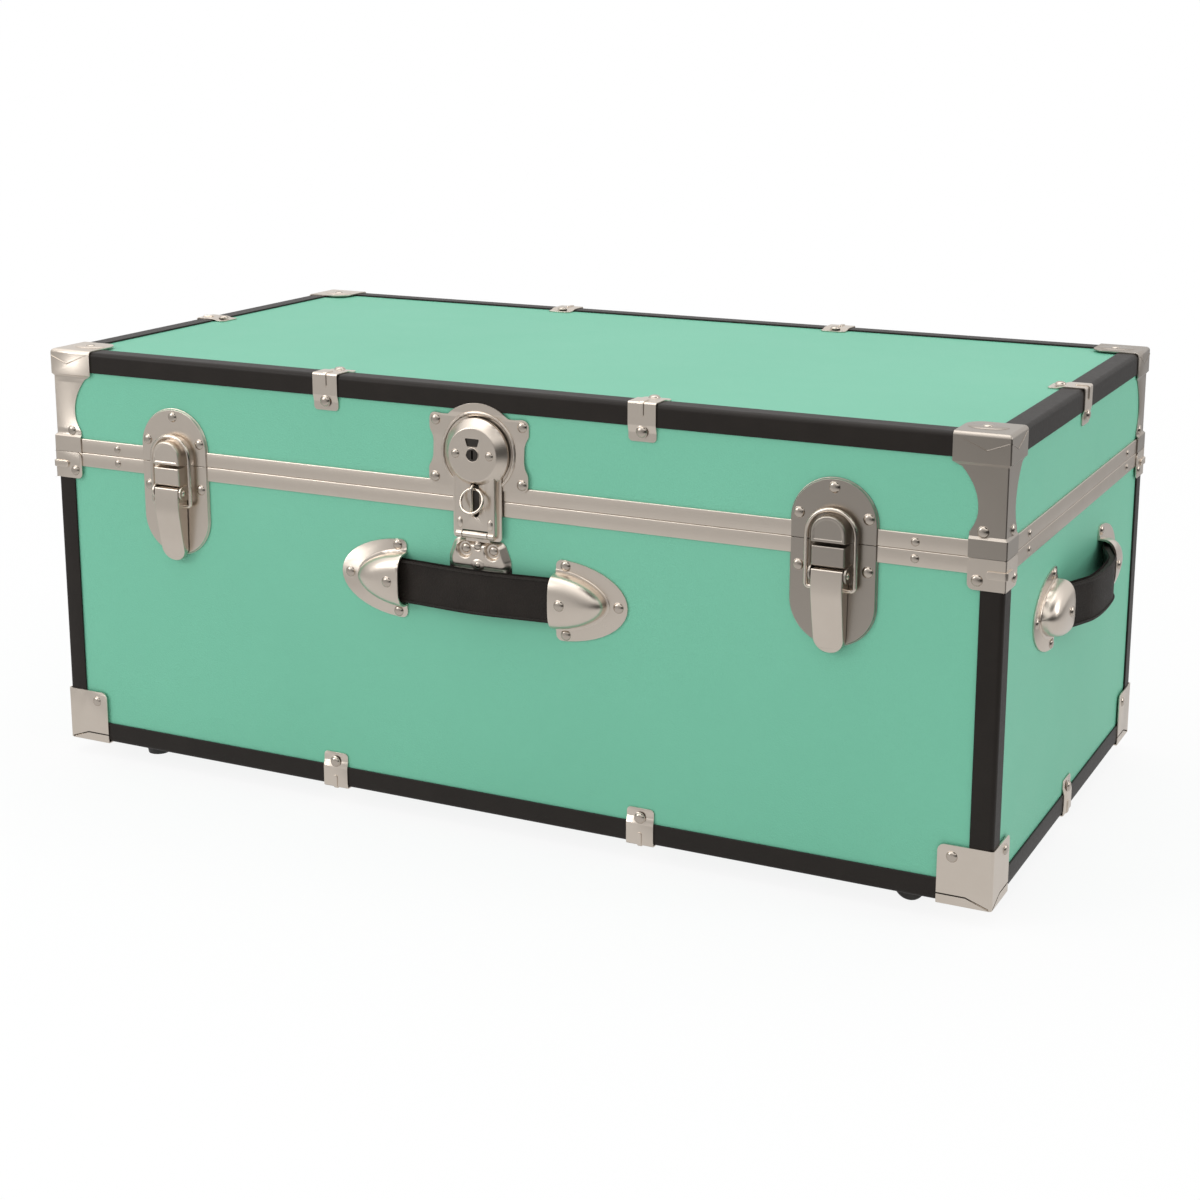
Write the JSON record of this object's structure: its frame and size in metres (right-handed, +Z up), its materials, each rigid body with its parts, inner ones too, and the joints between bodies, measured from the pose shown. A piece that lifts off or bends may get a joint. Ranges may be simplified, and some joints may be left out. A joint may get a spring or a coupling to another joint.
{
  "type": "storage trunk",
  "caption": "Footlocker-style storage trunk with a hinged lid, steel corner caps and rails, draw latches, a hasp lock with a ring, strap handles and recessed wheels.",
  "frame": {"origin": "middle of the bounding box, on the floor under the wheels and feet", "axes": "+X to the right as seen from the front, where the wheels are; +Y to the back, where the lid is hinged; +Z up"},
  "size_m": [0.826, 0.4134, 0.331],
  "materials": {
    "covered_board": "plywood board covered in mint-green vinyl with a fine leather grain, satin",
    "plated_steel": "thin pressed steel with warm satin nickel plating",
    "edge_binding": "near-black smooth binding strip, satin",
    "black_leather": "black pebbled leather-like strap",
    "wheel_rubber": "hard dark rubber",
    "glide_plastic": "dark moulded plastic"
  },
  "bodies": {
    "trunk_body": {"body_bottom_panel": "covered_board", "body_front_panel": "covered_board", "body_back_panel": "covered_board", "body_right_panel": "covered_board", "body_left_panel": "covered_board", "body_rail_front": "plated_steel", "body_rail_back": "plated_steel", "body_rail_right": "plated_steel", "body_rail_left": "plated_steel", "body_bindings": "edge_binding", "body_top_corners": "plated_steel", "bottom_corners": "plated_steel", "body_edge_clips": "plated_steel", "latch_base_left": "plated_steel", "latch_base_right": "plated_steel", "latch_pins": "plated_steel", "lock_base_plate": "plated_steel", "lock_hinge_pin": "plated_steel", "lock_backing_pad": "black_leather", "handle_caps_front": "plated_steel", "handle_strap_front": "black_leather", "handle_caps_right": "plated_steel", "handle_strap_right": "black_leather", "handle_caps_left": "plated_steel", "handle_strap_left": "black_leather", "hinge_lower_leaves": "plated_steel", "hinge_pins": "plated_steel", "wheel_housings": "plated_steel", "wheel_axles": "plated_steel", "glide_feet": "glide_plastic", "body_rivets": "plated_steel"},
    "lid": {"lid_top_panel": "covered_board", "lid_front_panel": "covered_board", "lid_back_panel": "covered_board", "lid_right_panel": "covered_board", "lid_left_panel": "covered_board", "lid_rail_front": "plated_steel", "lid_rail_back": "plated_steel", "lid_rail_right": "plated_steel", "lid_rail_left": "plated_steel", "lid_bindings": "edge_binding", "lid_corners": "plated_steel", "lid_edge_clips": "plated_steel", "latch_catch_left": "plated_steel", "latch_catch_right": "plated_steel", "lock_catch_plate": "plated_steel", "hinge_upper_leaves": "plated_steel", "lid_rivets": "plated_steel"},
    "lever_left": {"latch_lever_left": "plated_steel"},
    "bail_left": {"latch_bail_left": "plated_steel"},
    "lever_right": {"latch_lever_right": "plated_steel"},
    "bail_right": {"latch_bail_right": "plated_steel"},
    "lock_flap": {"lock_flap": "plated_steel", "lock_ring_staple": "plated_steel", "flap_rivets": "plated_steel"},
    "lock_ring": {"lock_ring": "plated_steel"},
    "key_plug": {"lock_key_plug": "plated_steel"},
    "front_wheel": {"wheel_front": "wheel_rubber"},
    "back_wheel": {"wheel_back": "wheel_rubber"}
  },
  "joints": [
    {"name": "lid_hinge", "type": "hinge", "parent": "trunk_body", "child": "lid", "pos_m": [0, 0.2035, 0.249], "axis": [-1, 0, 0], "range_deg": [0, 100]},
    {"name": "lever_left_swing", "type": "hinge", "parent": "trunk_body", "child": "lever_left", "pos_m": [-0.2655, -0.1997, 0.2285], "axis": [-1, 0, 0], "range_deg": [0, 90]},
    {"name": "bail_left_swing", "type": "hinge", "parent": "lever_left", "child": "bail_left", "pos_m": [-0.2655, -0.1972, 0.218], "axis": [-1, 0, 0], "range_deg": [-90, 0]},
    {"name": "lever_right_swing", "type": "hinge", "parent": "trunk_body", "child": "lever_right", "pos_m": [0.2655, -0.1997, 0.2285], "axis": [-1, 0, 0], "range_deg": [0, 90]},
    {"name": "bail_right_swing", "type": "hinge", "parent": "lever_right", "child": "bail_right", "pos_m": [0.2655, -0.1972, 0.218], "axis": [-1, 0, 0], "range_deg": [-90, 0]},
    {"name": "lock_flap_swing", "type": "hinge", "parent": "trunk_body", "child": "lock_flap", "pos_m": [0, -0.1965, 0.2242], "axis": [1, 0, 0], "range_deg": [0, 120]},
    {"name": "lock_ring_swing", "type": "hinge", "parent": "lock_flap", "child": "lock_ring", "pos_m": [0, -0.19915, 0.2579], "axis": [-1, 0, 0], "range_deg": [0, 120]},
    {"name": "key_turn", "type": "hinge", "parent": "lock_flap", "child": "key_plug", "pos_m": [0, -0.2008, 0.2825], "axis": [0, 1, 0], "range_deg": [0, 90]},
    {"name": "front_wheel_spin", "type": "hinge", "parent": "trunk_body", "child": "front_wheel", "pos_m": [0.318, -0.1672, 0.011], "axis": [0, 1, 0], "continuous": true},
    {"name": "back_wheel_spin", "type": "hinge", "parent": "trunk_body", "child": "back_wheel", "pos_m": [0.318, 0.1758, 0.011], "axis": [0, 1, 0], "continuous": true}
  ],
  "couplings": [
    {"joint": "bail_left_swing", "follows": "lever_left_swing", "ratio": -1},
    {"joint": "bail_right_swing", "follows": "lever_right_swing", "ratio": -1}
  ]
}
